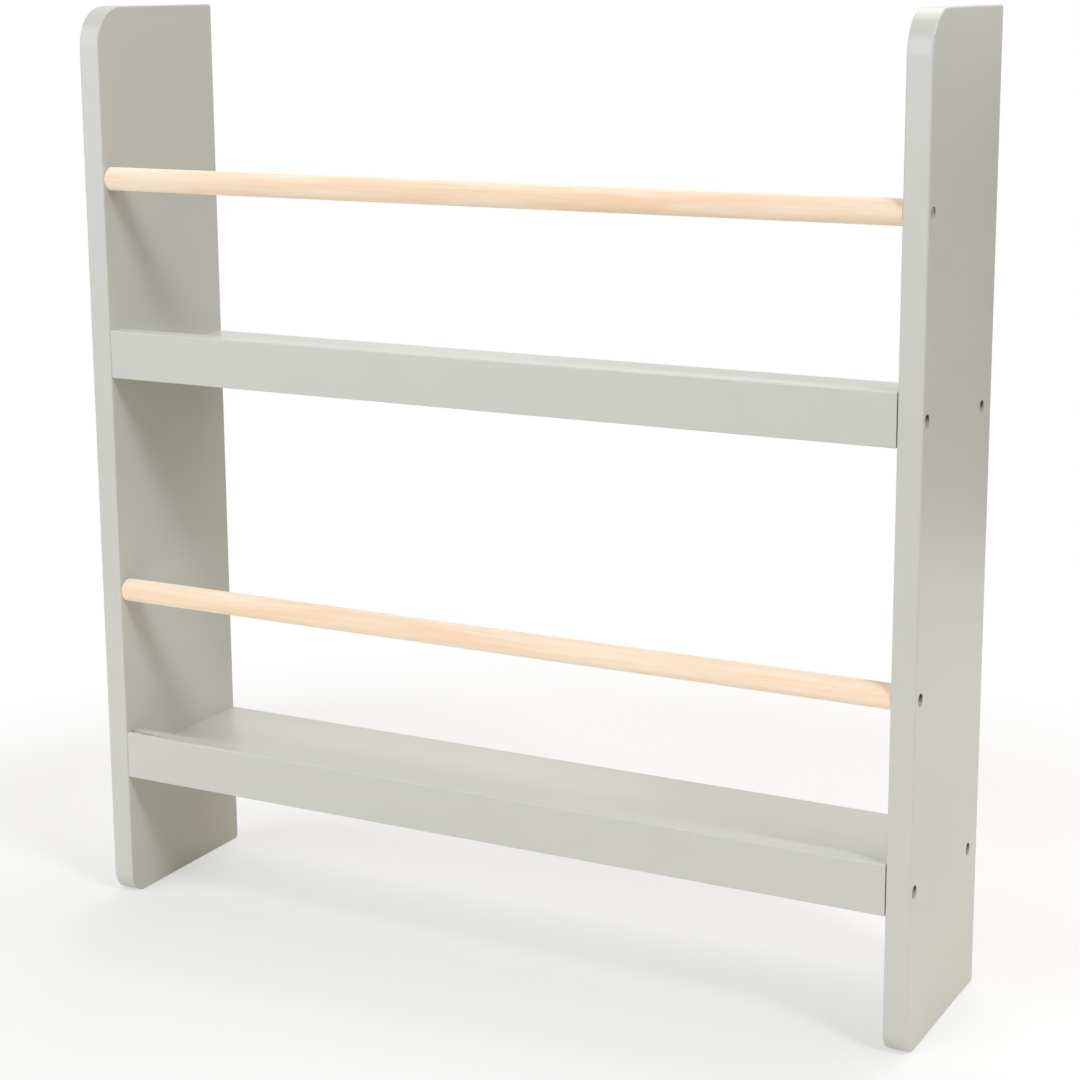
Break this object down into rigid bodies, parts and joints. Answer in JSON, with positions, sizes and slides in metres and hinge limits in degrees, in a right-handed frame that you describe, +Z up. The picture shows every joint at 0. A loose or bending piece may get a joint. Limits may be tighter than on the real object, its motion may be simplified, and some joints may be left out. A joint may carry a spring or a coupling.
{
  "type": "wall book shelf",
  "caption": "Shallow wall book rack: side panels with rounded front corners, shelves with a raised front lip, and a round wooden rail above each shelf.",
  "frame": {"origin": "on the floor under the middle of the shelf, at the bottom centre of its box", "axes": "+X to the right seen from the front, +Y to the wall behind, +Z up"},
  "size_m": [0.57, 0.125, 0.6],
  "materials": {
    "painted_board": "satin sage-grey paint on smooth board",
    "rail_wood": "pale beech, clear matt lacquer",
    "dowel_wood": "raw beech",
    "screw_steel": "zinc plated",
    "plate_steel": "zinc plated"
  },
  "bodies": {
    "root": {"side_panel_left": "painted_board", "side_panel_right": "painted_board", "upper_deck": "painted_board", "lower_deck": "painted_board", "upper_lip": "painted_board", "lower_lip": "painted_board", "upper_rail": "rail_wood", "lower_rail": "rail_wood", "upper_rail_screw_left": "screw_steel", "upper_rail_screw_right": "screw_steel", "lower_rail_screw_left": "screw_steel", "lower_rail_screw_right": "screw_steel", "upper_lip_screw_left": "screw_steel", "upper_lip_screw_right": "screw_steel", "lower_lip_screw_left": "screw_steel", "lower_lip_screw_right": "screw_steel", "upper_deck_screw_left": "screw_steel", "upper_deck_screw_right": "screw_steel", "lower_deck_screw_left": "screw_steel", "lower_deck_screw_right": "screw_steel", "upper_lip_dowels": "dowel_wood", "lower_lip_dowels": "dowel_wood", "hanger_plate_left": "plate_steel", "hanger_plate_right": "plate_steel", "hanger_screws_left": "screw_steel", "hanger_screws_right": "screw_steel"}
  },
  "joints": []
}
